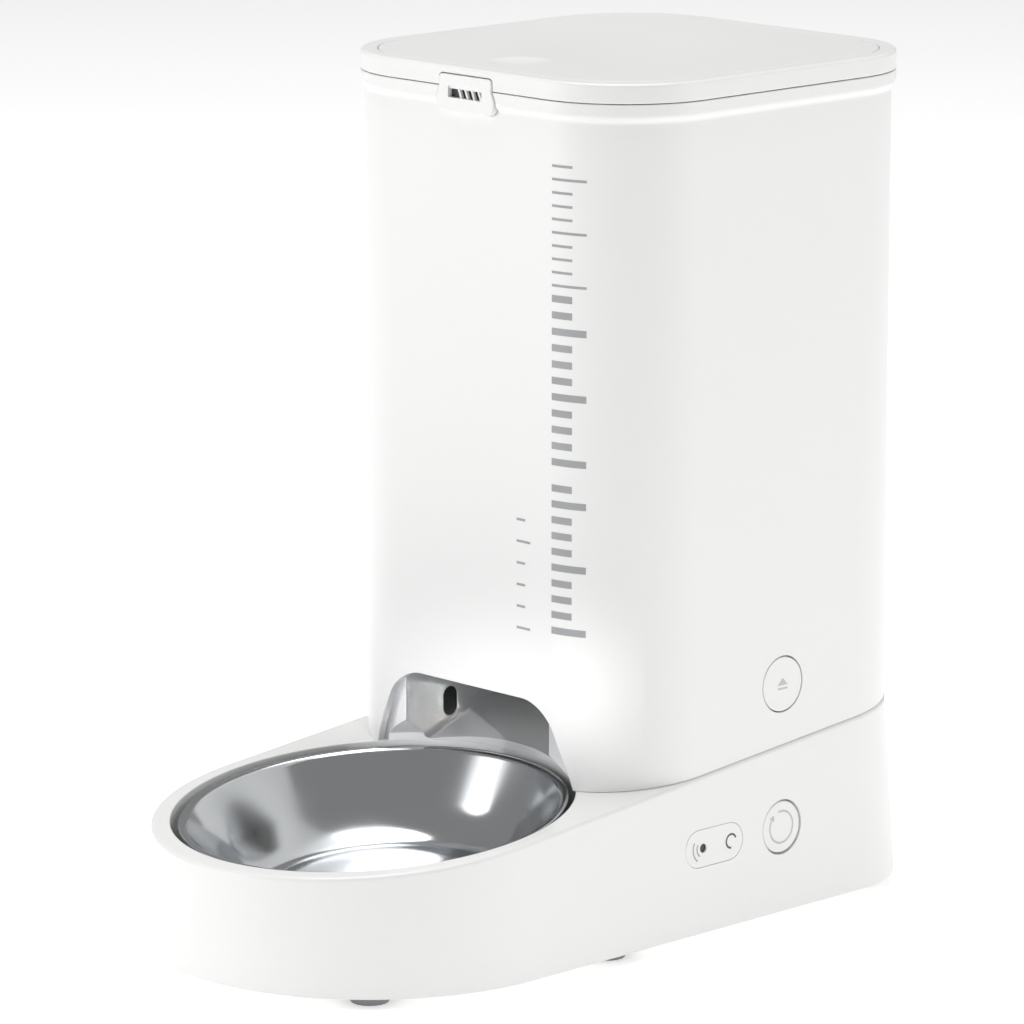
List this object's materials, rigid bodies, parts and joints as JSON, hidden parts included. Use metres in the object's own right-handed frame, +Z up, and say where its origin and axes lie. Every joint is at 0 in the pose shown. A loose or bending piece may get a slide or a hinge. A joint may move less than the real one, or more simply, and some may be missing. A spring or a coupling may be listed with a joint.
{
  "type": "automatic pet feeder",
  "caption": "Automatic dry-food feeder: rounded tower hopper with hinged, latched lid on a long sloping base holding a lift-out steel bowl, fed by a motor-driven rotor and chute.",
  "frame": {"origin": "centre of the overall footprint, on the surface that the feet stand on", "axes": "+Z up; the bowl end faces -Y; the feed button and status panel are on the +X side"},
  "size_m": [0.1644, 0.3024, 0.3172],
  "materials": {
    "white_abs": "smooth satin injection-moulded ABS",
    "white_inner": "plain moulded polypropylene",
    "grey_rubber": "soft moulded rubber",
    "silicone": "translucent silicone",
    "bowl_steel": "polished rim, fine brushed inside",
    "chute_silver": "metallised plastic",
    "zinc_steel": "zinc-plated",
    "spring_steel": "drawn wire",
    "brass": "turned",
    "acetal": "moulded acetal",
    "black_window": "smoked infrared window",
    "dark_plastic": "moulded black",
    "board_green": "solder mask",
    "cell_jacket": "printed jacket, plain",
    "drying_felt": "non-woven sachet"
  },
  "bodies": {
    "base": {"base_shell": "white_abs", "base_bottom_plate": "white_inner", "rubber_feet": "grey_rubber", "base_screws": "zinc_steel", "battery_door": "white_inner", "battery_door_screw": "zinc_steel", "battery_tray": "dark_plastic", "backup_cells": "cell_jacket", "battery_contacts": "zinc_steel", "power_inlet": "dark_plastic", "circuit_board": "board_green", "feed_switch": "dark_plastic", "status_panel": "white_abs", "status_window": "black_window", "chute_liner": "chute_silver", "chute_sensors": "black_window", "gearbox_base": "acetal", "gearbox_cover": "acetal", "gearbox_screws": "zinc_steel", "drive_motor": "zinc_steel", "idler_axle": "zinc_steel", "feed_spring": "spring_steel"},
    "bowl": {"bowl": "bowl_steel"},
    "feed_button": {"feed_button": "white_abs"},
    "motor_pinion": {"motor_shaft": "zinc_steel", "motor_pinion": "brass"},
    "idler": {"idler_gear": "acetal"},
    "output": {"output_gear": "acetal", "output_shaft": "acetal"},
    "tower": {"tower_shell": "white_abs", "hopper_bin": "white_inner", "support_frame": "white_inner", "dispenser_floor": "white_inner", "dispenser_screws": "zinc_steel", "metering_shield": "white_inner", "release_brackets": "white_inner", "hinge_pin": "zinc_steel", "release_spring_right": "spring_steel", "release_spring_left": "spring_steel"},
    "rotor": {"rotor_wheel": "white_inner", "rotor_wipers": "grey_rubber", "rotor_shaft": "acetal", "stirrer": "white_inner"},
    "release_right": {"release_button_right": "white_abs"},
    "release_left": {"release_button_left": "white_abs"},
    "lid": {"lid_shell": "white_abs", "lid_panel": "white_abs", "lid_seal": "silicone", "desiccant_box": "white_inner", "desiccant_pack": "drying_felt", "latch_pin": "zinc_steel", "latch_spring": "spring_steel"},
    "desiccant_cover": {"desiccant_cover": "white_inner"},
    "latch": {"lid_latch": "white_abs"}
  },
  "joints": [
    {"name": "bowl_pull", "type": "slide", "parent": "base", "child": "bowl", "axis": [0, -0.682, 0.7314], "range_m": [0, 0.12]},
    {"name": "tower_lift", "type": "slide", "parent": "base", "child": "tower", "axis": [0, 0, 1], "range_m": [0, 0.12]},
    {"name": "rotor_spin", "type": "hinge", "parent": "tower", "child": "rotor", "pos_m": [0, 0.0607, 0.11], "axis": [0, 0, 1], "continuous": true},
    {"name": "output_spin", "type": "hinge", "parent": "base", "child": "output", "pos_m": [0, 0.0607, 0.045], "axis": [0, 0, 1], "continuous": true},
    {"name": "idler_spin", "type": "hinge", "parent": "base", "child": "idler", "pos_m": [0, 0.0907, 0.035], "axis": [0, 0, 1], "continuous": true},
    {"name": "pinion_spin", "type": "hinge", "parent": "base", "child": "motor_pinion", "pos_m": [-0.03, 0.0907, 0.033], "axis": [0, 0, 1], "continuous": true},
    {"name": "feed_press", "type": "slide", "parent": "base", "child": "feed_button", "axis": [-1, 0, 0], "range_m": [0, 0.0015], "stiffness_N_per_m": 500, "springref_m": -0.002, "deforming": ["feed_spring"]},
    {"name": "release_right_press", "type": "slide", "parent": "tower", "child": "release_right", "axis": [-1, 0, 0], "range_m": [0, 0.003], "stiffness_N_per_m": 600, "springref_m": -0.003, "deforming": ["release_spring_right"]},
    {"name": "release_left_press", "type": "slide", "parent": "tower", "child": "release_left", "axis": [1, 0, 0], "range_m": [0, 0.003], "stiffness_N_per_m": 600, "springref_m": -0.003, "deforming": ["release_spring_left"]},
    {"name": "lid_hinge", "type": "hinge", "parent": "tower", "child": "lid", "pos_m": [0, 0.147, 0.3066], "axis": [-1, 0, 0], "range_deg": [0, 100]},
    {"name": "latch_pivot", "type": "hinge", "parent": "lid", "child": "latch", "pos_m": [0, -0.0199, 0.3124], "axis": [-1, 0, 0], "range_deg": [0, 12], "stiffness_Nm_per_rad": 0.05, "springref_deg": -20.05},
    {"name": "drying_box_twist", "type": "hinge", "parent": "lid", "child": "desiccant_cover", "pos_m": [0, 0.0607, 0.287], "axis": [0, 0, 1], "range_deg": [0, 30]}
  ],
  "couplings": [
    {"joint": "output_spin", "follows": "rotor_spin", "ratio": 1},
    {"joint": "idler_spin", "follows": "rotor_spin", "ratio": -4},
    {"joint": "pinion_spin", "follows": "rotor_spin", "ratio": 16}
  ]
}
